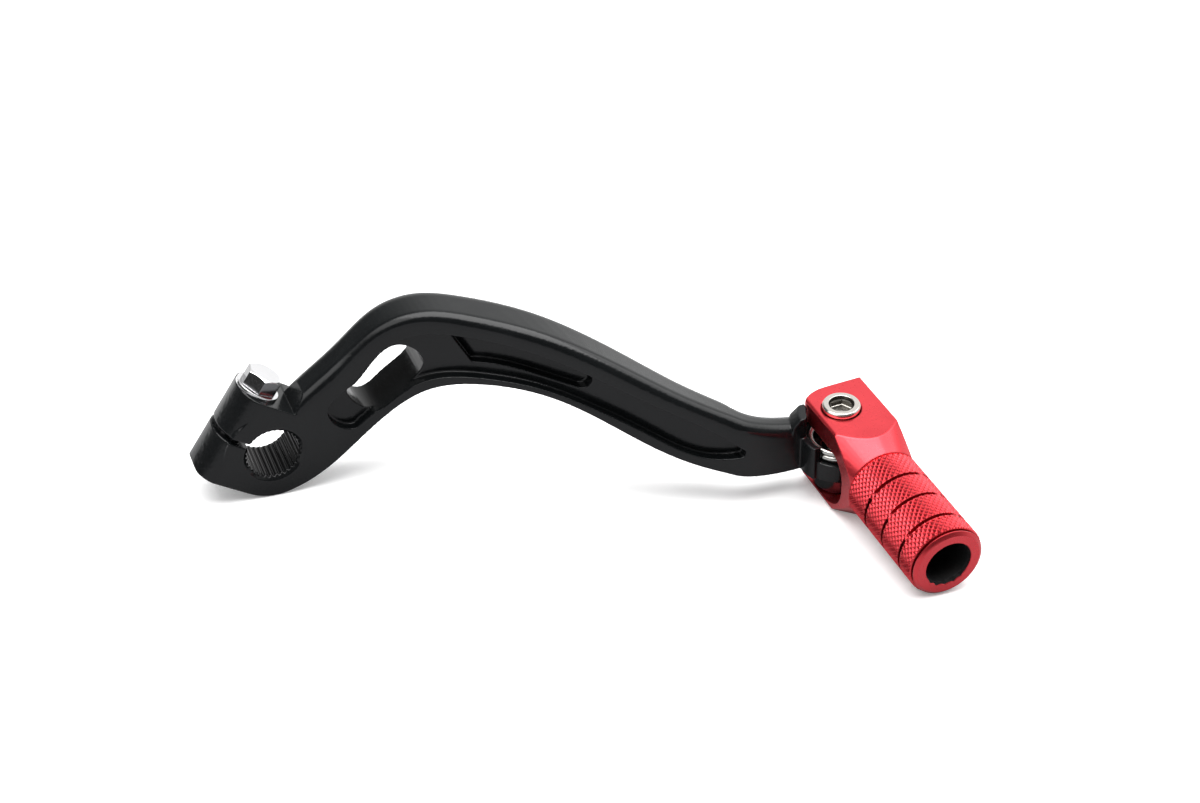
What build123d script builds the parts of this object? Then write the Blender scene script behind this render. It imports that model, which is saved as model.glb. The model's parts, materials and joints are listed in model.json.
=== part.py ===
from build123d import *
from math import cos, hypot, pi, radians, sin, tan
import os

# Folding-tip gear shift lever for a motorcycle, as separate solids.
#
# Frame: origin at the centre of the splined bore, half way along the boss.
# +X runs from the bore towards the folding tip, +Y runs along the bore into the
# engine, and +Z is up, along the tip's pivot bolt. Lengths are millimetres.

os.makedirs("parts", exist_ok=True)

# ---- driving dimensions ---------------------------------------------------
# Splined boss that grips the shift shaft
BOSS_LENGTH = 14.0
BOSS_RADIUS = 12.0
SPLINE_TEETH = 32
SPLINE_ROOT_RADIUS = 7.0
SPLINE_TIP_RADIUS = 6.35
SPLINE_LAND_SHARE = 0.40
RIM_CHAMFER = 0.5

# Pinch clamp: the bolt axis leans this far from +X towards +Z
PINCH_LEAN = 53.0
PINCH_OFFSET = 9.5
LUG_HALF_WIDTH = 5.25
LUG_FOOT_ROUND = 1.5
LUG_TOP = 11.8
LUG_BOTTOM = -12.0
SHOULDER_REACH = 7.0
HEAD_ROOM_RADIUS = 7.6
HEAD_ROOM_SIDE = 1.0
SLIT_WIDTH = 1.4
SLIT_REACH = 18.0

# M6 pinch bolt and its washer
M6_RADIUS = 3.0
M6_HOLE_RADIUS = 3.15
M6_HEX_WIDTH = 8.0
M6_HEAD_HEIGHT = 3.9
M6_HEAD_CROWN_RADIUS = 3.75
M6_HEAD_TURN = 15.0
WASHER_RADIUS = 5.4
WASHER_THICKNESS = 0.9
PINCH_BOLT_REACH = 22.0

# Arm: outer face swings outwards along the lever, thickness tapers to the tip
ARM_OUTER_START = (18.0, -7.0)
ARM_OUTER_END = (112.0, -48.0)
ARM_THICKNESS_START = 11.3
ARM_THICKNESS_END = 8.3
ARM_THICKNESS_BULGE = 3.4
ARM_PLAN_STEPS = 8
ARM_FRONT_FILLET = 2.6
ARM_BACK_FILLET = 4.6
POCKET_DEPTH = 2.4
DEEP_POCKET_DEPTH = 4.6

# Folding tip
PIVOT_X = 128.5
PIVOT_Y = -48.9
PEG_SHIFT = 2.4
PEG_AXIS_Z = -9.4
EAR_TOP = 2.1
EAR_BOTTOM = -21.2
EAR_INNER_SIDE = -6.33
EAR_OUTER_SIDE = 9.85
EAR_BACK = 9.1
SLOT_TOP = -3.7
SLOT_BOTTOM = -19.8
SLOT_END = 13.0
SLOT_CORNER_HIGH = 6.0
SLOT_CORNER_LOW = 8.0
STOCK_RADIUS = 14.1
STOCK_END = 8.75
PEG_RADIUS = 9.27
PEG_START = 17.5
PEG_END = 48.0
PEG_RING_RADIUS = 8.75
PEG_RING_LENGTH = 1.1
PEG_RING_CHAMFER = 0.5
RING_GROOVE_START = 0.6
RING_GROOVE_FLOOR = 0.3
RING_GROOVE_DEPTH = 0.9
PEG_BORE_RADIUS = 5.7
PEG_BORE_DEPTH = 24.0
GRIP_GROOVES = (25.6, 33.5, 41.4)
GRIP_GROOVE_WIDTH = 0.9
GRIP_GROOVE_FLAT = 6.85
GRIP_GROOVE_TURN = 10.0

# Pivot: bush clamped between the ears, arm eye and spring ride on it
EYE_RADIUS = 9.0
EYE_TOP = -9.0
EYE_BOTTOM = -13.9
EYE_GAP = 0.15
HUB_RADIUS = 6.1
NEST_RADIUS = 9.6
SPRING_NEST_RADIUS = 8.3
NEST_WALL_RADIUS = 10.0
NEST_WALL_TOP = -4.7
CORNER_SWEEP_BOTTOM = -7.1
NEST_WALL_FRONT = -4.2
NEST_WALL_BACK = 10.5
BAR_END_GAP = 8.0
COLLAR_RADIUS = 12.3
COLLAR_TOP = 0.9
COLLAR_SLOPE = 2.0
COLLAR_BACK = -42.3
BUSH_RADIUS = 4.0
RUNNING_CLEARANCE = 0.05
BOLT_HEAD_RADIUS = 4.6
BOLT_HEAD_TOP = 3.4
BOLT_HEAD_HEIGHT = 3.4
BOLT_SEAT_RADIUS = 4.85
HEX_SOCKET_WIDTH = 5.0
BOLT_HEAD_CHAMFER = 0.35
HEX_SOCKET_DEPTH = 2.4
SOCKET_MOUTH_RADIUS = 3.05
SOCKET_MOUTH_DEPTH = 1.2
FOLD_LIMIT = 50.0
FOLD_STOP_GAP = 0.25
SWING_REACH = 15.0

# Return spring
SPRING_RADIUS = 7.2
SPRING_WIRE = 1.5
SPRING_TURNS = 1.75
SPRING_PITCH = 1.57
SPRING_START_ANGLE = 200.0
SPRING_BOTTOM = EYE_TOP + 0.15

# Reach of the tools that cut and limit the arm, all beyond its surface
PLAN_LEFT = -30.0
PLAN_RIGHT = 140.0
PLAN_OUTSIDE = -90.0
SLAB_HALF = 45.0


# ---- shared helpers ---------------------------------------------------------
def rod(radius, base, axis, length):
    """Solid rod that starts at base and runs along axis."""
    plane = Plane(origin=base, z_dir=axis)
    return extrude(plane * Circle(radius), length)


def prism(face_sketch, y_low, y_high):
    """Solid with an X-Z outline between two Y stations."""
    plane = Plane(origin=(0, y_high, 0), x_dir=(1, 0, 0), z_dir=(0, -1, 0))
    return extrude(plane * face_sketch, y_high - y_low)


def block(x_span, y_span, z_span):
    """Axis-aligned box from three (low, high) spans."""
    size = [high - low for low, high in (x_span, y_span, z_span)]
    centre = [(high + low) / 2 for low, high in (x_span, y_span, z_span)]
    return Pos(*centre) * Box(*size)


def hex_prism(width, base, axis, length, turn=0.0):
    """Hexagonal solid, width measured across flats, turned about its axis in degrees."""
    plane = Plane(origin=base, z_dir=axis)
    outline = RegularPolygon(width / 2, 6, major_radius=False, rotation=turn)
    return extrude(plane * outline, length)


# Pinch bolt directions: along the bolt, and from the bore to the bolt axis
PINCH_AXIS = Vector(cos(radians(PINCH_LEAN)), 0, sin(radians(PINCH_LEAN)))
PINCH_SIDE = Vector(-sin(radians(PINCH_LEAN)), 0, cos(radians(PINCH_LEAN)))


def pinch_point(side, along):
    """Point in the boss's mid plane, from clamp coordinates."""
    return PINCH_SIDE * side + PINCH_AXIS * along


# ---- lever arm --------------------------------------------------------------
def arm_outline():
    """Side view of the arm, from the boss to the tip's nest."""
    top = Spline(
        (2.0, 8.0), (10.0, 14.6), (19.0, 20.8), (29.4, 29.0), (39.6, 32.0), (48.3, 31.0),
        (64.8, 26.6), (80.6, 18.2), (96.8, 7.9), (106.0, 2.9), (120.0, -1.9),
    )
    bottom = Spline(
        (120.0, -13.9), (107.8, -12.8), (96.0, -9.1), (79.0, 0.9), (63.1, 10.3),
        (51.0, 12.5), (38.2, 10.7), (28.7, 4.5), (15.0, -6.4), (2.0, -11.8),
    )
    close_tip = Line(top @ 1, bottom @ 0)
    close_boss = Line(bottom @ 1, top @ 0)
    return make_face(Curve() + [top, close_tip, bottom, close_boss])


def plan_point(share, inset):
    """Point of the outer face in plan, moved inwards along the face's normal.

    The face is a smooth step: level at the boss and at the tip.
    """
    run = ARM_OUTER_END[0] - ARM_OUTER_START[0]
    rise = ARM_OUTER_END[1] - ARM_OUTER_START[1]
    x = ARM_OUTER_START[0] + run * share
    y = ARM_OUTER_START[1] + rise * share * share * (3 - 2 * share)
    slope = 6 * share * (1 - share) * rise / run
    length = hypot(1, slope)
    return (x - inset * slope / length, y + inset / length)


def plan_curve(inset_at):
    """Smooth plan curve whose inset from the outer face depends on the share of its run."""
    shares = [step / ARM_PLAN_STEPS for step in range(ARM_PLAN_STEPS + 1)]
    points = [plan_point(share, inset_at(share)) for share in shares]
    return Spline(*points, tangents=[(1, 0), (1, 0)])


def arm_thickness(share):
    """Thickness of the arm, greatest near the middle and least at the tip."""
    straight = ARM_THICKNESS_START + (ARM_THICKNESS_END - ARM_THICKNESS_START) * share
    return straight + ARM_THICKNESS_BULGE * 4 * share * (1 - share)


def outer_face_line(inset):
    """Plan curve of the arm's outer face, moved inwards by inset, with straight ends."""
    curve = plan_curve(lambda share: inset)
    lead_in = Line((PLAN_LEFT, (curve @ 0).Y), curve @ 0)
    lead_out = Line(curve @ 1, (PLAN_RIGHT, (curve @ 1).Y))
    return [lead_in, curve, lead_out]


def plan_slab():
    """Arm thickness in plan, extruded through the full height."""
    back = plan_curve(arm_thickness)
    start = back @ 0
    end = back @ 1
    lines = outer_face_line(0) + [
        Line((PLAN_RIGHT, ARM_OUTER_END[1]), (PLAN_RIGHT, end.Y)),
        Line((PLAN_RIGHT, end.Y), end),
        back,
        Line(start, (PLAN_LEFT, start.Y)),
        Line((PLAN_LEFT, start.Y), (PLAN_LEFT, ARM_OUTER_START[1])),
    ]
    face = make_face(Curve() + lines)
    return extrude(Pos(0, 0, -SLAB_HALF) * face, 2 * SLAB_HALF)


def outside_slab(depth):
    """Everything outside the arm's outer face once it is moved in by depth."""
    lines = outer_face_line(depth) + [
        Line((PLAN_RIGHT, ARM_OUTER_END[1] + depth), (PLAN_RIGHT, PLAN_OUTSIDE)),
        Line((PLAN_RIGHT, PLAN_OUTSIDE), (PLAN_LEFT, PLAN_OUTSIDE)),
        Line((PLAN_LEFT, PLAN_OUTSIDE), (PLAN_LEFT, ARM_OUTER_START[1] + depth)),
    ]
    face = make_face(Curve() + lines)
    return extrude(Pos(0, 0, -SLAB_HALF) * face, 2 * SLAB_HALF)


def long_top_edges(bar):
    """Edges that run the length of the bar along its top, outermost first."""
    edges = [edge for edge in bar.edges() if edge.length > 90 and (edge @ 0.5).Z > 18]
    return sorted(edges, key=lambda edge: (edge @ 0.5).Y)


def arm_blank():
    """Curved bar of the arm with its long edges rounded."""
    bar = prism(arm_outline(), -60, 20) & plan_slab()
    bar = fillet(long_top_edges(bar)[0], ARM_FRONT_FILLET)
    return fillet(long_top_edges(bar)[-1], ARM_BACK_FILLET)


def clamp_plane(y):
    """X-Z plane at a Y station: x runs towards the lug, y down the pinch bolt."""
    return Plane(origin=(0, y, 0), x_dir=PINCH_SIDE, z_dir=(0, -1, 0))


def boss():
    """Barrel around the spline with the pinch lug beside it."""
    half = BOSS_LENGTH / 2
    barrel = rod(BOSS_RADIUS, (0, half, 0), (0, -1, 0), BOSS_LENGTH)
    lug_plane = Plane(
        origin=pinch_point(PINCH_OFFSET, LUG_BOTTOM), x_dir=PINCH_SIDE, z_dir=PINCH_AXIS
    )
    lug = extrude(lug_plane * Ellipse(LUG_HALF_WIDTH, half), LUG_TOP - LUG_BOTTOM)
    corners = [
        (PINCH_OFFSET, -LUG_BOTTOM),
        (PINCH_OFFSET, -LUG_TOP),
        (-SHOULDER_REACH, -LUG_TOP),
        (-SHOULDER_REACH, 0),
        (0, -LUG_BOTTOM),
    ]
    shoulder = extrude(clamp_plane(half) * make_face(Polyline(*corners, close=True)), BOSS_LENGTH)
    lug_side = PINCH_OFFSET + LUG_HALF_WIDTH
    limit_size = 60.0
    limit_centre = Pos(lug_side - limit_size / 2, -LUG_BOTTOM - limit_size / 2)
    rounded = RectangleRounded(limit_size, limit_size, LUG_FOOT_ROUND)
    limit = extrude(clamp_plane(half) * limit_centre * rounded, BOSS_LENGTH)
    return barrel + ((shoulder + lug) & limit)


def spline_cutter():
    """Bore of the boss: triangular grooves between round lands, and rim chamfers."""
    pitch = 2 * pi / SPLINE_TEETH
    land = pitch * SPLINE_LAND_SHARE / 2

    def at(radius, angle):
        return (radius * cos(angle), radius * sin(angle))

    edges = []
    for tooth in range(SPLINE_TEETH):
        centre = tooth * pitch
        land_start = at(SPLINE_TIP_RADIUS, centre - land)
        land_middle = at(SPLINE_TIP_RADIUS, centre)
        land_end = at(SPLINE_TIP_RADIUS, centre + land)
        root = at(SPLINE_ROOT_RADIUS, centre + pitch / 2)
        next_land = at(SPLINE_TIP_RADIUS, centre + pitch - land)
        edges.append(ThreePointArc(land_start, land_middle, land_end))
        edges.append(Line(land_end, root))
        edges.append(Line(root, next_land))
    half = BOSS_LENGTH / 2
    cutter = prism(make_face(Wire(edges)), -half - 1, half + 1)
    rim = SPLINE_ROOT_RADIUS + RIM_CHAMFER
    for side in (-1, 1):
        plane = Plane(origin=(0, side * (half + 0.01), 0), z_dir=(0, -side, 0))
        depth = rim - SPLINE_TIP_RADIUS
        cutter += Solid.make_cone(rim, SPLINE_TIP_RADIUS - 0.02, depth, plane)
    return cutter


def pinch_cutter():
    """Slit, bolt hole, spot face and the clearance around the bolt head."""
    half = BOSS_LENGTH
    slit_plane = Plane(origin=(0, 0, 0), x_dir=PINCH_SIDE, z_dir=PINCH_AXIS)
    slit = slit_plane * Pos(SLIT_REACH / 2 + 2, 0, 0) * Box(SLIT_REACH, 2 * half, SLIT_WIDTH)
    hole = rod(M6_HOLE_RADIUS, pinch_point(PINCH_OFFSET, LUG_BOTTOM - 2), PINCH_AXIS, 40)
    notch_plane = Plane(origin=pinch_point(0, LUG_TOP), x_dir=PINCH_SIDE, z_dir=PINCH_AXIS)
    notch_size = 20
    notch_centre = Pos(HEAD_ROOM_SIDE + notch_size / 2, 0, notch_size / 2)
    notch = notch_plane * notch_centre * Box(notch_size, 2 * half, notch_size)
    head_room = rod(HEAD_ROOM_RADIUS, pinch_point(PINCH_OFFSET, LUG_TOP), PINCH_AXIS, notch_size)
    return slit + hole + notch + head_room


def shallow_pocket():
    """Long recess in the arm's outer face."""
    upper = Spline(
        (16.0, 11.0), (24.2, 18.2), (32.6, 25.0), (38.5, 26.6), (46.0, 26.2),
        (63.0, 21.7), (79.0, 13.2), (91.0, 6.0), (103.6, -3.6),
    )
    lower = Spline(
        (102.6, -5.9), (96.0, -5.9), (83.1, 1.4), (73.1, 7.4), (62.0, 12.4), (51.1, 14.3),
        (38.4, 13.5), (29.0, 8.0), (20.6, 1.6),
    )
    tip_round = ThreePointArc(upper @ 1, (104.0, -5.2), lower @ 0)
    left_end = Spline(lower @ 1, (17.4, 2.4), (14.2, 8.2), upper @ 0)
    outline = make_face(Curve() + [upper, tip_round, lower, left_end])
    return prism(outline, -70, 20) & outside_slab(POCKET_DEPTH)


def window():
    """Opening right through the arm beside the boss."""
    outline = Spline(
        (20.4, 11.8), (27.3, 18.7), (33.0, 22.3), (35.4, 21.6), (38.0, 17.3), (37.3, 15.0),
        (30.3, 8.5), (25.0, 5.2), (22.9, 5.9),
        periodic=True,
    )
    return prism(make_face(outline), -70, 20)


def deep_pocket():
    """Second step of the recess beyond the elbow, ending in a round sink."""
    upper = Spline((44.2, 25.6), (54.0, 23.6), (63.0, 20.6), (70.2, 17.4))
    lower = Spline((70.2, 12.2), (64.2, 14.2), (56.3, 16.6), (48.4, 17.4))
    sink_end = ThreePointArc(upper @ 1, (72.6, 14.4), lower @ 0)
    left = Line(lower @ 1, upper @ 0)
    outline = make_face(Curve() + [upper, sink_end, lower, left])
    return prism(outline, -70, 20) & outside_slab(DEEP_POCKET_DEPTH)


def pivot_cylinder(radius, z_low, z_high):
    """Cylinder on the tip's pivot axis."""
    return rod(radius, (PIVOT_X, PIVOT_Y, z_low), (0, 0, 1), z_high - z_low)


def swing_room():
    """Space that the ears sweep between rest and the folding stop."""
    limit = radians(FOLD_LIMIT)
    stop_side = -EAR_INNER_SIDE + FOLD_STOP_GAP
    slab_depth = 40
    slab = Box(60, slab_depth, 80)
    centre_side = stop_side - slab_depth / 2
    stop_plane = Plane(
        origin=(PIVOT_X - centre_side * cos(limit), PIVOT_Y + centre_side * sin(limit), 0),
        x_dir=(-sin(limit), -cos(limit), 0),
        z_dir=(0, 0, 1),
    )
    reach = pivot_cylinder(SWING_REACH, -40, 40)
    return (stop_plane * slab) & reach


def eye():
    """Round tongue that the pivot bush passes through, with its hub and collar."""
    tongue = pivot_cylinder(EYE_RADIUS, EYE_BOTTOM, EYE_TOP)
    hub = pivot_cylinder(HUB_RADIUS, SLOT_BOTTOM + EYE_GAP, EYE_TOP)
    neck_depth = (ARM_OUTER_END[1], COLLAR_BACK)
    neck = block((PIVOT_X - 12, PIVOT_X), neck_depth, (EYE_BOTTOM, EYE_TOP))
    collar = pivot_cylinder(COLLAR_RADIUS, EYE_BOTTOM, COLLAR_TOP - COLLAR_SLOPE)
    brow_plane = Plane(origin=(PIVOT_X, PIVOT_Y, COLLAR_TOP - COLLAR_SLOPE), z_dir=(0, 0, 1))
    collar += Solid.make_cone(COLLAR_RADIUS, COLLAR_RADIUS - COLLAR_SLOPE, COLLAR_SLOPE, brow_plane)
    collar_zone = block((PIVOT_X - 20, PIVOT_X - 2), neck_depth, (-30, 10))
    return tongue + hub + neck + (collar & collar_zone) + nest_wall()


def nest_wall():
    """Low wall round the arm's side of the spring, under the sweep of the slot's corner."""
    wall = pivot_cylinder(NEST_WALL_RADIUS, EYE_BOTTOM, NEST_WALL_TOP)
    depth = (PIVOT_Y + NEST_WALL_FRONT, PIVOT_Y + NEST_WALL_BACK)
    return wall & block((PIVOT_X - 20, PIVOT_X), depth, (-30, 10))


def lever_arm():
    """Forged arm: boss, bent bar with its recesses, and the tip's eye."""
    bar_end = block((-40, PIVOT_X - BAR_END_GAP), (-90, 40), (-60, 60))
    body = (arm_blank() & bar_end) + boss() + eye()
    body -= spline_cutter()
    body -= pinch_cutter()
    body -= shallow_pocket()
    body -= window()
    body -= deep_pocket()
    body -= pivot_cylinder(SPRING_NEST_RADIUS, EYE_TOP, 40)
    beside_ear = block((PIVOT_X + EAR_INNER_SIDE - FOLD_STOP_GAP, 200), (-100, 0), (-60, 60))
    body -= pivot_cylinder(NEST_RADIUS, SLOT_TOP - 0.3, 40) & beside_ear
    body -= swing_room() & block((0, 200), (-100, 0), (NEST_WALL_TOP, 40))
    corner_room = swing_room() - pivot_cylinder(NEST_WALL_RADIUS, -40, 40)
    body -= corner_room & block((0, 200), (-100, 0), (CORNER_SWEEP_BOTTOM, 40))
    body -= pivot_cylinder(BUSH_RADIUS + RUNNING_CLEARANCE, -60, 40)
    return body


# ---- fasteners --------------------------------------------------------------
def pinch_washer():
    """Plain washer under the pinch bolt's head."""
    base = pinch_point(PINCH_OFFSET, LUG_TOP)
    ring = rod(WASHER_RADIUS, base, PINCH_AXIS, WASHER_THICKNESS)
    return ring - rod(M6_HOLE_RADIUS, base, PINCH_AXIS, WASHER_THICKNESS)


def pinch_bolt():
    """M6 hexagon bolt, head chamfered on top, that closes the slit."""
    seat = pinch_point(PINCH_OFFSET, LUG_TOP + WASHER_THICKNESS)
    head = hex_prism(M6_HEX_WIDTH, seat, PINCH_AXIS, M6_HEAD_HEIGHT, M6_HEAD_TURN)
    wide_radius = M6_HEAD_CROWN_RADIUS + M6_HEAD_HEIGHT / tan(radians(30))
    seat_plane = Plane(origin=seat, z_dir=PINCH_AXIS)
    crown = Solid.make_cone(wide_radius, M6_HEAD_CROWN_RADIUS, M6_HEAD_HEIGHT, seat_plane)
    shank = rod(M6_RADIUS, seat, -PINCH_AXIS, PINCH_BOLT_REACH)
    return (head & crown) + shank


def pivot_bolt():
    """Socket-head bolt that clamps the bush between the tip's ears."""
    seat = BOLT_HEAD_TOP - BOLT_HEAD_HEIGHT
    head = pivot_cylinder(BOLT_HEAD_RADIUS, seat, BOLT_HEAD_TOP)
    head = chamfer(head.edges().group_by(Axis.Z)[-1], BOLT_HEAD_CHAMFER)
    shank = pivot_cylinder(M6_RADIUS, EAR_BOTTOM + 0.6, seat)
    base = (PIVOT_X, PIVOT_Y, BOLT_HEAD_TOP - HEX_SOCKET_DEPTH)
    socket = hex_prism(HEX_SOCKET_WIDTH, base, (0, 0, 1), HEX_SOCKET_DEPTH + 1)
    mouth = pivot_cylinder(SOCKET_MOUTH_RADIUS, BOLT_HEAD_TOP - SOCKET_MOUTH_DEPTH, BOLT_HEAD_TOP + 1)
    return head + shank - socket - mouth


def pivot_bush():
    """Steel sleeve that the arm's eye turns on."""
    outside = pivot_cylinder(BUSH_RADIUS, SLOT_BOTTOM, SLOT_TOP)
    return outside - pivot_cylinder(M6_RADIUS + RUNNING_CLEARANCE, SLOT_BOTTOM, SLOT_TOP)


def return_spring():
    """Torsion spring wound around the bush, above the eye."""
    start_z = SPRING_BOTTOM + SPRING_WIRE / 2
    coil = Helix(SPRING_PITCH, SPRING_PITCH * SPRING_TURNS, SPRING_RADIUS)
    path = Pos(PIVOT_X, PIVOT_Y, start_z) * Rot(0, 0, SPRING_START_ANGLE) * coil
    section = Plane(origin=path @ 0, z_dir=path % 0) * Circle(SPRING_WIRE / 2)
    return sweep(section, path=path)


# ---- folding tip ------------------------------------------------------------
def peg_profile():
    """Half section of the turned tip: radius against distance from the pivot."""
    ring_start = PEG_END - PEG_RING_LENGTH
    return [
        (0, -EAR_BACK),
        (STOCK_RADIUS, -EAR_BACK),
        (STOCK_RADIUS, STOCK_END),
        (PEG_RADIUS, PEG_START),
        (PEG_RADIUS, ring_start - RING_GROOVE_START),
        (PEG_RING_RADIUS - RING_GROOVE_DEPTH, ring_start - RING_GROOVE_FLOOR),
        (PEG_RING_RADIUS, ring_start),
        (PEG_RING_RADIUS, PEG_END - PEG_RING_CHAMFER),
        (PEG_RING_RADIUS - PEG_RING_CHAMFER, PEG_END),
        (0, PEG_END),
    ]


def turned(points):
    """Solid of revolution about the peg axis, from (radius, distance) points."""
    plane = Plane(origin=(PIVOT_X + PEG_SHIFT, PIVOT_Y, PEG_AXIS_Z), z_dir=(0, 0, 1))
    face = plane * make_face(Polyline(*[(r, -d) for r, d in points], close=True))
    axis = Axis((PIVOT_X + PEG_SHIFT, PIVOT_Y, PEG_AXIS_Z), (0, 1, 0))
    return revolve(face, axis, 360)


def grip_grooves():
    """Straight cuts across four sides of the grip, at each groove station."""
    cuts = []
    centre_x = PIVOT_X + PEG_SHIFT
    for distance in GRIP_GROOVES:
        middle = PIVOT_Y - distance
        y_span = (middle - GRIP_GROOVE_WIDTH / 2, middle + GRIP_GROOVE_WIDTH / 2)
        for quarter in range(4):
            bar = block((GRIP_GROOVE_FLAT, 20), y_span, (-20, 20))
            turn = Rot(0, 90 * quarter - GRIP_GROOVE_TURN, 0)
            cuts.append(Pos(centre_x, 0, PEG_AXIS_Z) * turn * bar)
    return cuts


def slot_cutter():
    """Slot between the ears, its closed end rounded more at the bottom than at the top."""
    height = SLOT_TOP - SLOT_BOTTOM
    depth = SLOT_END + 30
    extra = 10.0
    plane = Plane(origin=(PIVOT_X - 40, 0, 0), x_dir=(0, 1, 0), z_dir=(1, 0, 0))
    centre_y = PIVOT_Y - SLOT_END + depth / 2
    centre_z = (SLOT_TOP + SLOT_BOTTOM) / 2
    slot = Pos(centre_y, centre_z) * RectangleRounded(depth, height, SLOT_CORNER_HIGH)
    taller = RectangleRounded(depth, height + extra, SLOT_CORNER_LOW)
    return extrude(plane * (slot & (Pos(centre_y, centre_z + extra / 2) * taller)), 80)


def toe_peg():
    """Folding tip: two ears, a cone and the hollow grip, in one piece."""
    peg = turned(peg_profile())
    front = PIVOT_Y - PEG_END - 1
    ears = block(
        (PIVOT_X + EAR_INNER_SIDE, PIVOT_X + EAR_OUTER_SIDE),
        (PIVOT_Y - PEG_START, PIVOT_Y + EAR_BACK),
        (EAR_BOTTOM, EAR_TOP),
    )
    grip_zone = block((PIVOT_X - 30, PIVOT_X + 30), (front, PIVOT_Y - PEG_START), (-60, 60))
    peg = peg & (ears + grip_zone)
    corner = block((PIVOT_X - 40, PIVOT_X), (PIVOT_Y, PIVOT_Y + 40), (-60, 60))
    peg -= corner - pivot_cylinder(EAR_BACK, -60, 60)
    peg -= slot_cutter()
    bore_base = (PIVOT_X + PEG_SHIFT, PIVOT_Y - PEG_END, PEG_AXIS_Z)
    peg -= rod(PEG_BORE_RADIUS, bore_base, (0, 1, 0), PEG_BORE_DEPTH)
    for cut in grip_grooves():
        peg -= cut
    peg -= pivot_cylinder(M6_RADIUS + RUNNING_CLEARANCE, -60, 60)
    peg -= pivot_cylinder(BOLT_SEAT_RADIUS, BOLT_HEAD_TOP - BOLT_HEAD_HEIGHT, 60)
    return peg


PARTS = {
    "lever_arm": lever_arm,
    "pinch_bolt": pinch_bolt,
    "pinch_washer": pinch_washer,
    "toe_peg": toe_peg,
    "pivot_bolt": pivot_bolt,
    "pivot_bush": pivot_bush,
    "return_spring": return_spring,
}

for node, make in PARTS.items():
    export_step(make(), f"parts/{node}.step")
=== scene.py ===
"""Gear shift lever: black forged arm, red folding toe peg and plated bolts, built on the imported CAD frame."""

import json
import math

import bmesh
import bpy
import numpy as np
from mathutils import Matrix, Vector


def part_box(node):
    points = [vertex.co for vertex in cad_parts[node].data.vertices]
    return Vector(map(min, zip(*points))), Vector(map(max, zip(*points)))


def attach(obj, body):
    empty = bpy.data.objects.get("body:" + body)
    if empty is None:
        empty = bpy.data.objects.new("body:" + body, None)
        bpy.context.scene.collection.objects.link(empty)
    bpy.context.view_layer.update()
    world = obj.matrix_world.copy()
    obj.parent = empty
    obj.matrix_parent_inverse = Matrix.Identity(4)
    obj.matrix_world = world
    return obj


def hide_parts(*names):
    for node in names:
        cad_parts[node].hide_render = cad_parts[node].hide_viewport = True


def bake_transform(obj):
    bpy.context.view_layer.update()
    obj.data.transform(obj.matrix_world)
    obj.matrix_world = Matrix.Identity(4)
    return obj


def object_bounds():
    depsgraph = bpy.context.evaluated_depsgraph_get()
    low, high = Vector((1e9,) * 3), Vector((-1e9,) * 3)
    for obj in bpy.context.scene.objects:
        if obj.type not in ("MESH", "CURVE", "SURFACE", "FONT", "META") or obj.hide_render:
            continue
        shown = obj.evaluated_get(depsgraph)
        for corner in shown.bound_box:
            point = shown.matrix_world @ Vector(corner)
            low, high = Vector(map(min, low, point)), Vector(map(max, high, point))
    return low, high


MM = 0.001

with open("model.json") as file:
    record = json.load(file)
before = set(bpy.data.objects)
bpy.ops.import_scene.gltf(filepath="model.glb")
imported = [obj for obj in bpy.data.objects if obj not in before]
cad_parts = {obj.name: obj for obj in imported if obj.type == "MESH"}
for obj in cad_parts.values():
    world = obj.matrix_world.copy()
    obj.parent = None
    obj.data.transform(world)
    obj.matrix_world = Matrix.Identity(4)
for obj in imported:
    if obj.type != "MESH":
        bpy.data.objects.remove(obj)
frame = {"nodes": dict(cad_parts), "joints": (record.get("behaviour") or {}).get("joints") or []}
size_before = [list(corner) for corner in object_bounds()]
MIDDLE = (Vector(size_before[0]) + Vector(size_before[1])) / 2

PIVOT = Vector(frame["joints"][0]["pos_m"])
PEG_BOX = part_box("toe_peg")
PEG_AXIS_X = (PEG_BOX[0].x + PEG_BOX[1].x) / 2
PEG_END = PIVOT.y - PEG_BOX[0].y
PEG_RADIUS = (PEG_BOX[1].x - PEG_BOX[0].x) / 2
SPRING_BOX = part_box("return_spring")

# Arm: the splined bore keeps its sharp edges
SPLINE_RADIUS = 7.6 * MM
SPLINE_HALF_LENGTH = 8 * MM

# Grip of the toe peg, lengths along its axis from the pivot
GRIP_START = 17.5 * MM
GRIP_OVERLAP = 0.6 * MM
GRIP_GROOVES = (25.15 * MM, 33.05 * MM, 40.95 * MM)
GROOVE_WIDTH = 0.9 * MM
GROOVE_FLAT = 6.85 * MM
GROOVE_TURN = math.radians(10)
# Painted shade on the grooves' floors
GROOVE_SHADE = 0.75
STEP_RUN = 0.02 * MM

# Knurl: crossed ridges that fade out beside every edge of the grip
KNURL_COUNT = 38
KNURL_STEPS = 12
KNURL_DEPTH = 0.5 * MM
KNURL_SHARPNESS = 2.2
KNURL_END = 46.6 * MM
PIT_FALLOFF = 1.1
EDGE_BAND = 0.25 * MM
EDGE_DEPTH = 0.16 * MM
# Share of the painted shade kept beside the grip's edges
EDGE_SHADE = 0.3

# End ring and hollow of the peg
RING_GROOVE = 0.4 * MM
RING_GROOVE_DEPTH = 0.55 * MM
# Painted shade in the groove before the end ring
RING_GROOVE_SHADE = 0.9
RING_RADIUS = 8.75 * MM
BORE_RADIUS = 5.7 * MM
BORE_DEPTH = 24 * MM
BORE_CONE = 2.5 * MM
LIP_DEPTH = 1.0 * MM
LIP_NICK_WIDTH = 0.09
LIP_NICKS = ((3.9, 0.3 * MM), (4.25, 0.45 * MM), (4.62, 0.28 * MM), (5.0, 0.4 * MM), (5.35, 0.25 * MM))

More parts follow.
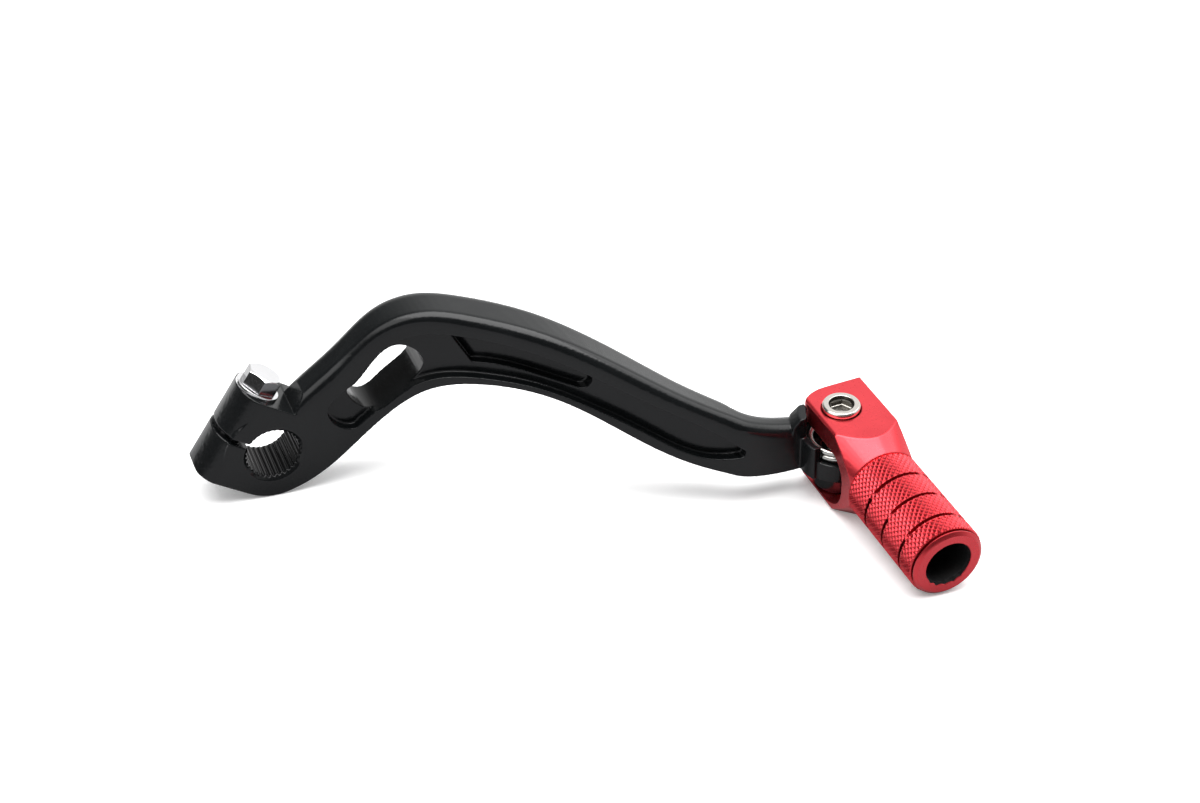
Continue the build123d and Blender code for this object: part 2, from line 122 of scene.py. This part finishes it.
# Return spring
WIRE_RADIUS = 0.75 * MM
WIRE_SIDES = 14
SPRING_TURNS = 1.75
SPRING_START = math.radians(200)
SPRING_STEPS = 160

# Bolts: the pinch bolt leans this far from +X towards +Z
PINCH_LEAN = math.radians(53)
PINCH_AXIS = Vector((math.cos(PINCH_LEAN), 0, math.sin(PINCH_LEAN)))
HEX_SIDE_LEAN = 0.35
SOCKET_RADIUS = 3.12 * MM
SOCKET_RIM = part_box("pivot_bolt")[1].z - 0.15 * MM
SOCKET_FLOOR = SOCKET_RIM - 2.05 * MM

# Floor, light and camera
FLOOR_SIZE = 8.0
FLOOR_GAP = 0.05 * MM
FLOOR_STEEPEST = 0.7
ROOM_LEVEL = 0.12
LAMP_OFFSET = Vector((0.0, 0.05, 0.75))
LAMP_SIZE = (0.9, 0.7)
LAMP_POWER = 6.5
CAMERA_PLACE = Vector((-59.1, -380.1, 295.7)) * MM
CAMERA_FORWARD = Vector((0.2823, 0.7414, -0.6087)).normalized()
CAMERA_UP = Vector((0.2556, 0.5535, 0.7927))


# ---------------------------------------------------------------- mesh helpers


def mesh_object(name, vertices, faces, smooth=True):
    mesh = bpy.data.meshes.new(name)
    mesh.from_pydata([tuple(v) for v in vertices], [], [tuple(f) for f in faces])
    mesh.update()
    obj = bpy.data.objects.new(name, mesh)
    bpy.context.scene.collection.objects.link(obj)
    for polygon in mesh.polygons:
        polygon.use_smooth = smooth
    return obj


def welded_copy(node, name):
    """A copy of a CAD node's mesh with its split edges joined."""
    mesh = frame["nodes"][node].data.copy()
    mesh.name = name
    work = bmesh.new()
    work.from_mesh(mesh)
    bmesh.ops.remove_doubles(work, verts=work.verts, dist=1e-7)
    work.to_mesh(mesh)
    work.free()
    mesh.materials.clear()
    obj = bpy.data.objects.new(name, mesh)
    bpy.context.scene.collection.objects.link(obj)
    return obj


def bake_modifiers(obj):
    """Replaces the mesh by what its modifiers make of it."""
    graph = bpy.context.evaluated_depsgraph_get()
    result = bpy.data.meshes.new_from_object(obj.evaluated_get(graph), depsgraph=graph)
    obj.modifiers.clear()
    obj.data = result


def soften(obj, voxel, rounds, crisp=None):
    """Rebuilds the surface with small even faces and rounds its edges, except where crisp(x, y, z) holds."""
    remesh = obj.modifiers.new("remesh", "REMESH")
    remesh.mode = "VOXEL"
    remesh.voxel_size = voxel
    remesh.use_smooth_shade = True
    bake_modifiers(obj)
    smooth = obj.modifiers.new("smooth", "SMOOTH")
    smooth.factor = 0.5
    smooth.iterations = rounds
    if crisp is not None:
        points = np.empty(len(obj.data.vertices) * 3)
        obj.data.vertices.foreach_get("co", points)
        rounded = np.nonzero(~crisp(*points.reshape(-1, 3).T))[0]
        obj.vertex_groups.new(name="rounded").add(rounded.tolist(), 1.0, "REPLACE")
        smooth.vertex_group = "rounded"
    bake_modifiers(obj)


def cut_away(obj, point, normal):
    """Removes what lies on the normal's side of a plane and closes the cut."""
    work = bmesh.new()
    work.from_mesh(obj.data)
    everything = work.verts[:] + work.edges[:] + work.faces[:]
    bmesh.ops.bisect_plane(work, geom=everything, plane_co=point, plane_no=normal, clear_outer=True)
    open_edges = [edge for edge in work.edges if edge.is_boundary]
    bmesh.ops.holes_fill(work, edges=open_edges, sides=0)
    bmesh.ops.triangulate(work, faces=[face for face in work.faces if len(face.verts) > 4])
    work.to_mesh(obj.data)
    work.free()


def ring_faces(rows, columns):
    """Quads between the rings of a round form, with a face over each end."""
    faces = []
    for row in range(rows - 1):
        here = row * columns
        there = here + columns
        for column in range(columns):
            beside = (column + 1) % columns
            faces.append((here + column, here + beside, there + beside, there + column))
    faces.append(tuple(reversed(range(columns))))
    faces.append(tuple(range((rows - 1) * columns, rows * columns)))
    return faces


def tube(name, path, radius, sides):
    """Round wire along a path of points, with closed ends."""
    path = np.array(path, float)
    tangents = np.gradient(path, axis=0)
    tangents /= np.linalg.norm(tangents, axis=1)[:, None]
    side = np.cross(tangents[0], (0.0, 0.0, 1.0))
    vertices = []
    for point, tangent in zip(path, tangents):
        side = side - tangent * (side @ tangent)
        side /= np.linalg.norm(side)
        other = np.cross(tangent, side)
        for step in range(sides):
            angle = 2 * math.pi * step / sides
            vertices.append(point + radius * (math.cos(angle) * side + math.sin(angle) * other))
    return mesh_object(name, vertices, ring_faces(len(path), sides))


# ---------------------------------------------------------------- shader helpers


def new_material(name):
    material = bpy.data.materials.new(name)
    material.use_nodes = True
    tree = material.node_tree
    tree.nodes.clear()
    output = tree.nodes.new("ShaderNodeOutputMaterial")
    shader = tree.nodes.new("ShaderNodeBsdfPrincipled")
    tree.links.new(shader.outputs["BSDF"], output.inputs["Surface"])
    return material, tree, shader


def feed(tree, socket, value):
    """Links a socket to another socket, or sets it to a plain value."""
    if isinstance(value, bpy.types.NodeSocket):
        tree.links.new(value, socket)
    else:
        socket.default_value = value


def arithmetic(tree, operation, first, second=0.0):
    node = tree.nodes.new("ShaderNodeMath")
    node.operation = operation
    feed(tree, node.inputs[0], first)
    feed(tree, node.inputs[1], second)
    return node.outputs["Value"]


def remap(tree, value, start, end, low=0.0, high=1.0, smooth=False):
    """Maps start..end to low..high and holds the ends."""
    node = tree.nodes.new("ShaderNodeMapRange")
    if smooth:
        node.interpolation_type = "SMOOTHSTEP"
    node.inputs["From Min"].default_value = start
    node.inputs["From Max"].default_value = end
    node.inputs["To Min"].default_value = low
    node.inputs["To Max"].default_value = high
    tree.links.new(value, node.inputs["Value"])
    return node.outputs["Result"]


def mix_colours(tree, factor, low, high):
    node = tree.nodes.new("ShaderNodeMix")
    node.data_type = "RGBA"
    feed(tree, node.inputs["Factor"], factor)
    feed(tree, node.inputs["A"], low)
    feed(tree, node.inputs["B"], high)
    return node.outputs["Result"]


def split_xyz(tree, vector):
    node = tree.nodes.new("ShaderNodeSeparateXYZ")
    tree.links.new(vector, node.inputs["Vector"])
    return node.outputs


def noise(tree, scale, detail):
    place = tree.nodes.new("ShaderNodeTexCoord")
    texture = tree.nodes.new("ShaderNodeTexNoise")
    texture.inputs["Scale"].default_value = scale
    texture.inputs["Detail"].default_value = detail
    tree.links.new(place.outputs["Object"], texture.inputs["Vector"])
    return texture.outputs["Fac"]


def spread(tree, value, low=0.0, high=1.0):
    """Maps the middle of a noise to a chosen range."""
    return remap(tree, value, 0.3, 0.7, low, high)


def opaque(colour):
    return (*colour, 1)


# ---------------------------------------------------------------- materials


def metal_finish(name, low, high, metallic, rough, grain, grain_depth, specular=0.5, coat=0.0, painted_recess_shade=None):
    """A finish whose colour and roughness drift, with a fine grain and, where given, painted shade that darkens
    the colour in recesses.
    """
    material, tree, shader = new_material(name)
    clouds = noise(tree, 90.0, 4.0)
    colour = mix_colours(tree, spread(tree, clouds), opaque(low), opaque(high))
    # Painted shade: the colour darkens towards the given shade colour by the mesh's shade attribute.
    if painted_recess_shade is not None:
        depth = tree.nodes.new("ShaderNodeAttribute")
        depth.attribute_name = "painted_recess_shade"
        colour = mix_colours(tree, depth.outputs["Fac"], colour, opaque(painted_recess_shade))
    tree.links.new(colour, shader.inputs["Base Color"])
    fine = noise(tree, grain, 2.0)
    tree.links.new(spread(tree, fine, *rough), shader.inputs["Roughness"])
    shader.inputs["Metallic"].default_value = metallic
    shader.inputs["Specular IOR Level"].default_value = specular
    shader.inputs["Coat Weight"].default_value = coat
    shader.inputs["Coat Roughness"].default_value = 0.12
    bump = tree.nodes.new("ShaderNodeBump")
    bump.inputs["Strength"].default_value = 0.35
    bump.inputs["Distance"].default_value = grain_depth
    tree.links.new(fine, bump.inputs["Height"])
    tree.links.new(bump.outputs["Normal"], shader.inputs["Normal"])
    return material


black_anodise = metal_finish(
    "black_anodise", (0.0035, 0.0042, 0.0046), (0.006, 0.007, 0.0075),
    metallic=0.0, rough=(0.17, 0.23), grain=900.0, grain_depth=0.002 * MM, specular=0.36,
)
red_anodise = metal_finish(
    "red_anodise", (0.70, 0.045, 0.058), (0.80, 0.056, 0.070),
    metallic=0.95, rough=(0.27, 0.33), grain=1500.0, grain_depth=0.003 * MM,
    # Painted shade colour for the knurl's pits and the grip's grooves
    coat=0.3, painted_recess_shade=(0.20, 0.006, 0.014),
)
zinc = metal_finish(
    "zinc_plate", (0.80, 0.80, 0.81), (0.90, 0.90, 0.91),
    metallic=1.0, rough=(0.1, 0.16), grain=1800.0, grain_depth=0.002 * MM,
)
# Darker copy of the zinc: painted shade on the hex head's sides.
zinc_painted_side_shade = metal_finish(
    "zinc_painted_side_shade", (0.17, 0.17, 0.175), (0.24, 0.24, 0.245),
    metallic=1.0, rough=(0.1, 0.16), grain=1800.0, grain_depth=0.002 * MM,
)
# Dark copy of the stainless: painted shade on the walls of the bolt's hex socket.
painted_socket_shade = metal_finish(
    "painted_socket_shade", (0.060, 0.056, 0.048), (0.090, 0.085, 0.075),
    metallic=1.0, rough=(0.3, 0.4), grain=1800.0, grain_depth=0.002 * MM,
)
steel = metal_finish(
    "stainless", (0.62, 0.58, 0.53), (0.72, 0.69, 0.64),
    metallic=1.0, rough=(0.16, 0.24), grain=2200.0, grain_depth=0.003 * MM,
)
spring_steel = metal_finish(
    "spring_steel", (0.60, 0.59, 0.56), (0.70, 0.69, 0.66),
    metallic=1.0, rough=(0.16, 0.25), grain=2200.0, grain_depth=0.003 * MM,
)
bore_black = metal_finish(
    "peg_hollow", (0.006, 0.006, 0.007), (0.012, 0.011, 0.011),
    metallic=0.0, rough=(0.5, 0.7), grain=1500.0, grain_depth=0.02 * MM,
)


def paint(obj, *materials):
    obj.data.materials.clear()
    for material in materials:
        obj.data.materials.append(material)


def stand_for(obj, node, body):
    """Puts a piece on a body in place of a CAD node."""
    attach(obj, body)
    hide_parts(node)


# ---------------------------------------------------------------- arm


def on_spline(x, y, z):
    return (np.hypot(x, z) < SPLINE_RADIUS) & (np.abs(y) < SPLINE_HALF_LENGTH)


arm = welded_copy("lever_arm", "arm_forging")
soften(arm, 0.19 * MM, 4, on_spline)
paint(arm, black_anodise)
stand_for(arm, "lever_arm", "arm")


# ---------------------------------------------------------------- toe peg


def knurl(turn, along):
    """Height of the crossed ridges of a knurl, 1 on the ridges and 0 in the pits between them."""
    lead = KNURL_COUNT / (2 * math.pi * PEG_RADIUS)
    first = np.abs((turn * KNURL_COUNT + along * lead) % 1 - 0.5)
    second = np.abs((turn * KNURL_COUNT - along * lead) % 1 - 0.5)
    return np.maximum(0, 1 - KNURL_SHARPNESS * np.minimum(first, second))


def grip_rows():
    """Stations along the grip, close together where its profile steps."""
    step = 2 * math.pi * PEG_RADIUS / KNURL_COUNT / KNURL_STEPS
    rows = list(np.arange(GRIP_START + 0.3 * MM, KNURL_END - step / 2, step))
    for start in GRIP_GROOVES:
        end = start + GROOVE_WIDTH
        for edge in (start, end):
            rows += [edge - STEP_RUN, edge + STEP_RUN]
        rows += [start - 0.2 * MM, end + 0.2 * MM]
    return sorted(rows)


def knurled_rings(turns, flats):
    """Place, radii and painted shade of each ring of the knurled length; flats holds the groove's radii."""
    edges = [GRIP_START, KNURL_END]
    for start in GRIP_GROOVES:
        edges += [start, start + GROOVE_WIDTH]
    for along in grip_rows():
        shade = 1 - knurl(turns, along)
        radii = PEG_RADIUS - KNURL_DEPTH * shade
        if min(abs(along - edge) for edge in edges) < EDGE_BAND:
            radii = np.maximum(radii, PEG_RADIUS - EDGE_DEPTH)
            shade = shade * EDGE_SHADE
        if any(start < along < start + GROOVE_WIDTH for start in GRIP_GROOVES):
            shade = np.where(flats < radii, GROOVE_SHADE, shade)
            radii = np.minimum(radii, flats)
        yield along, radii, shade ** PIT_FALLOFF


def grip():
    """Knurled grip with its flat-cut grooves, end ring and nicked hollow, with painted shade in its pits and
    grooves.
    """
    columns = KNURL_COUNT * KNURL_STEPS
    turns = np.arange(columns) / columns
    angles = turns * 2 * math.pi
    from_flat = np.abs((angles - GROOVE_TURN + math.pi / 4) % (math.pi / 2) - math.pi / 4)
    flats = GROOVE_FLAT / np.cos(from_flat)
    lip = BORE_RADIUS + 0.05 * MM
    for place, size in LIP_NICKS:
        lip = lip + size * np.exp(-(((angles - place) / LIP_NICK_WIDTH) ** 2))

    ring_floor = RING_RADIUS - RING_GROOVE_DEPTH
    ring_start = KNURL_END + RING_GROOVE
    outside = [
        (GRIP_START - GRIP_OVERLAP, 0.5 * BORE_RADIUS, 0),
        (GRIP_START - GRIP_OVERLAP, PEG_RADIUS - 1.1 * MM, 0),
        (GRIP_START, PEG_RADIUS - 0.25 * MM, 0),
        *knurled_rings(turns, flats),
        (KNURL_END, PEG_RADIUS - 0.3 * MM, 0),
        (KNURL_END + STEP_RUN, ring_floor, RING_GROOVE_SHADE),
        (ring_start, ring_floor, RING_GROOVE_SHADE),
        (ring_start + STEP_RUN, RING_RADIUS - 0.1 * MM, 0),
        (ring_start + 0.15 * MM, RING_RADIUS, 0),
        (PEG_END - 0.6 * MM, RING_RADIUS, 0),
        (PEG_END - 0.15 * MM, RING_RADIUS - 0.55 * MM, 0),
        (PEG_END, RING_RADIUS - 0.85 * MM, 0),
        (PEG_END, lip + 0.15 * MM, 0),
    ]
    inside = [
        (PEG_END - 0.15 * MM, lip, 0),
        (PEG_END - LIP_DEPTH, lip, 0),
        (PEG_END - LIP_DEPTH - 0.1 * MM, BORE_RADIUS, 0),
        (PEG_END - BORE_DEPTH, BORE_RADIUS, 0),
        (PEG_END - BORE_DEPTH - BORE_CONE, 0.5 * MM, 0),
    ]

    vertices, shades = [], []
    for along, radii, shade in outside + inside:
        radii = np.broadcast_to(radii, columns)
        x = PEG_AXIS_X + radii * np.cos(angles)
        y = np.full(columns, PIVOT.y - along)
        z = PIVOT.z + radii * np.sin(angles)
        vertices += list(np.stack([x, y, z], axis=1))
        shades.append(np.broadcast_to(shade, columns).astype(float))
    obj = mesh_object("toe_peg_grip", vertices, ring_faces(len(shades), columns), smooth=False)
    # Painted shade: how dark each vertex is in the knurl's pits and the grooves, read by the red finish.
    painted_recess_shade = obj.data.attributes.new("painted_recess_shade", "FLOAT", "POINT")
    painted_recess_shade.data.foreach_set("value", np.concatenate(shades))
    paint(obj, red_anodise, bore_black)
    first_inside = len(outside) * columns
    for polygon in obj.data.polygons:
        polygon.material_index = 1 if min(polygon.vertices) >= first_inside else 0
    return obj


clevis = welded_copy("toe_peg", "toe_peg_clevis")
cut_away(clevis, Vector((PEG_AXIS_X, PIVOT.y - GRIP_START, PIVOT.z)), Vector((0, -1, 0)))
soften(clevis, 0.2 * MM, 2)
paint(clevis, red_anodise)
for piece in (clevis, grip()):
    stand_for(piece, "toe_peg", "tip")


# ---------------------------------------------------------------- return spring


def spring():
    """Coil between the spring's lowest and highest turn in the frame."""
    low, high = SPRING_BOX[0].z + WIRE_RADIUS, SPRING_BOX[1].z - WIRE_RADIUS
    radius = (SPRING_BOX[1].x - SPRING_BOX[0].x) / 2 - WIRE_RADIUS
    path = []
    for step in range(SPRING_STEPS + 1):
        share = step / SPRING_STEPS
        angle = SPRING_START + 2 * math.pi * SPRING_TURNS * share
        x = PIVOT.x + radius * math.cos(angle)
        y = PIVOT.y + radius * math.sin(angle)
        path.append((x, y, low + (high - low) * share))
    return tube("return_coil", path, WIRE_RADIUS, WIRE_SIDES)


coil = spring()
paint(coil, spring_steel)
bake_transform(coil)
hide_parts("return_spring")


# ---------------------------------------------------------------- bolts, washer and bush


def rounded_piece(node, name, body, materials, is_shaded=None):
    """A softly rounded copy of a CAD fastener; is_shaded(polygon) picks the second material, a darker copy that
    paints shade.
    """
    obj = welded_copy(node, name)
    soften(obj, 0.09 * MM, 3)
    paint(obj, *materials)
    if is_shaded is not None:
        for polygon in obj.data.polygons:
            polygon.material_index = 1 if is_shaded(polygon) else 0
    stand_for(obj, node, body)


# Side faces of the hex head, which get the painted shade
def is_hex_side(polygon):
    return abs(polygon.normal.dot(PINCH_AXIS)) < HEX_SIDE_LEAN


# Walls of the bolt's hex socket, which get the painted shade
def is_socket_wall(polygon):
    centre = polygon.center
    from_axis = math.hypot(centre.x - PIVOT.x, centre.y - PIVOT.y)
    return from_axis < SOCKET_RADIUS and SOCKET_FLOOR < centre.z < SOCKET_RIM


rounded_piece("pinch_bolt", "hex_bolt", "arm", (zinc, zinc_painted_side_shade), is_hex_side)
rounded_piece("pinch_washer", "hex_washer", "arm", (zinc,))
rounded_piece("pivot_bolt", "socket_bolt", "tip", (steel, painted_socket_shade), is_socket_wall)
paint(frame["nodes"]["pivot_bush"], steel)


# ---------------------------------------------------------------- floor


def resting_plane():
    """Centre and upward normal of the plane the whole lever lies on: the hull face under its middle."""
    work = bmesh.new()
    for node in frame["nodes"].values():
        for vertex in node.data.vertices:
            if vertex.co.z < PIVOT.z:
                work.verts.new(vertex.co)
    bmesh.ops.convex_hull(work, input=work.verts)
    best = None
    for face in work.faces:
        face.normal_update()
        normal = face.normal
        if normal.z > -FLOOR_STEEPEST:
            continue
        drop = (face.verts[0].co - MIDDLE).dot(normal) / -normal.z
        if best is None or drop < best[0]:
            best = (drop, face.calc_center_median().copy(), -normal.copy())
    work.free()
    return best[1], best[2]


def floor_paper():
    """White to the camera; to reflections and light, dim in front of the lever and pale behind it."""
    material, tree, shader = new_material("floor_paper")
    to_camera = tree.nodes.new("ShaderNodeLightPath").outputs["Is Camera Ray"]
    place = tree.nodes.new("ShaderNodeNewGeometry").outputs["Position"]
    backward = remap(tree, split_xyz(tree, place)["Y"], 0.02, 0.16)
    white = opaque((0.95, 0.95, 0.95))
    seen_in_metal = mix_colours(tree, backward, opaque((0.36, 0.36, 0.37)), white)
    tree.links.new(mix_colours(tree, to_camera, seen_in_metal, white), shader.inputs["Base Color"])
    glow = arithmetic(tree, "MULTIPLY", to_camera, 0.22)
    tree.links.new(glow, shader.inputs["Emission Strength"])
    shader.inputs["Emission Color"].default_value = opaque((1, 1, 1))
    shader.inputs["Roughness"].default_value = 0.6
    shader.inputs["Specular IOR Level"].default_value = 0.2
    return material


def lay_floor():
    point, upward = resting_plane()
    bpy.ops.mesh.primitive_plane_add(size=FLOOR_SIZE)
    floor = bpy.context.object
    floor.name = "floor"
    floor.rotation_mode = "QUATERNION"
    floor.rotation_quaternion = upward.to_track_quat("Z", "Y")
    floor.location = point - upward * FLOOR_GAP
    paint(floor, floor_paper())


lay_floor()


# ---------------------------------------------------------------- light


def toward(tree, view, direction, start, full, gain):
    """Glow of the part of the room that lies toward a direction."""
    dot = tree.nodes.new("ShaderNodeVectorMath")
    dot.operation = "DOT_PRODUCT"
    dot.inputs[1].default_value = Vector(direction).normalized()
    tree.links.new(view, dot.inputs[0])
    return remap(tree, dot.outputs["Value"], start, full, 0, gain, smooth=True)


def overhead_strip(tree, view, middle, half_width, softness, gain):
    """Long soft box overhead, running in X, between two values of the direction's Y."""
    parts = split_xyz(tree, view)
    off_middle = arithmetic(tree, "ABSOLUTE", arithmetic(tree, "SUBTRACT", parts["Y"], middle))
    across = remap(tree, off_middle, half_width, half_width + softness, gain, 0, smooth=True)
    height = remap(tree, parts["Z"], 0.42, 0.62, smooth=True)
    return arithmetic(tree, "MULTIPLY", across, height)


def studio_world():
    """Dark room, pale behind and to the right, with a long soft box overhead."""
    world = bpy.data.worlds.new("studio")
    bpy.context.scene.world = world
    world.use_nodes = True
    tree = world.node_tree
    tree.nodes.clear()
    output = tree.nodes.new("ShaderNodeOutputWorld")
    background = tree.nodes.new("ShaderNodeBackground")
    view = tree.nodes.new("ShaderNodeTexCoord").outputs["Generated"]
    pale_side = toward(tree, view, (0.8, 0.6, 0), 0.0, 0.85, 1.25)
    soft_box = overhead_strip(tree, view, -0.05, 0.28, 0.2, 2.6)
    room = arithmetic(tree, "ADD", pale_side, ROOM_LEVEL)
    tree.links.new(arithmetic(tree, "ADD", soft_box, room), background.inputs["Strength"])
    tree.links.new(background.outputs["Background"], output.inputs["Surface"])


def overhead_lamp():
    data = bpy.data.lights.new("overhead", "AREA")
    data.shape = "RECTANGLE"
    data.size, data.size_y = LAMP_SIZE
    data.energy = LAMP_POWER
    lamp = bpy.data.objects.new("overhead", data)
    bpy.context.scene.collection.objects.link(lamp)
    lamp.location = MIDDLE + LAMP_OFFSET
    lamp.rotation_mode = "QUATERNION"
    lamp.rotation_quaternion = (-LAMP_OFFSET).to_track_quat("-Z", "Y")


studio_world()
overhead_lamp()


# ---------------------------------------------------------------- camera


def photo_camera():
    data = bpy.data.cameras.new("camera")
    data.lens = 60
    data.sensor_width = 36
    data.clip_start = 0.01
    data.clip_end = 20
    camera = bpy.data.objects.new("camera", data)
    bpy.context.scene.collection.objects.link(camera)
    across = CAMERA_FORWARD.cross(CAMERA_UP).normalized()
    upward = across.cross(CAMERA_FORWARD)
    turn = Matrix((across, upward, -CAMERA_FORWARD)).transposed()
    camera.matrix_world = Matrix.Translation(CAMERA_PLACE) @ turn.to_4x4()
    bpy.context.scene.camera = camera


photo_camera()
bpy.context.scene.view_settings.view_transform = "Standard"
bpy.context.scene.view_settings.look = "None"
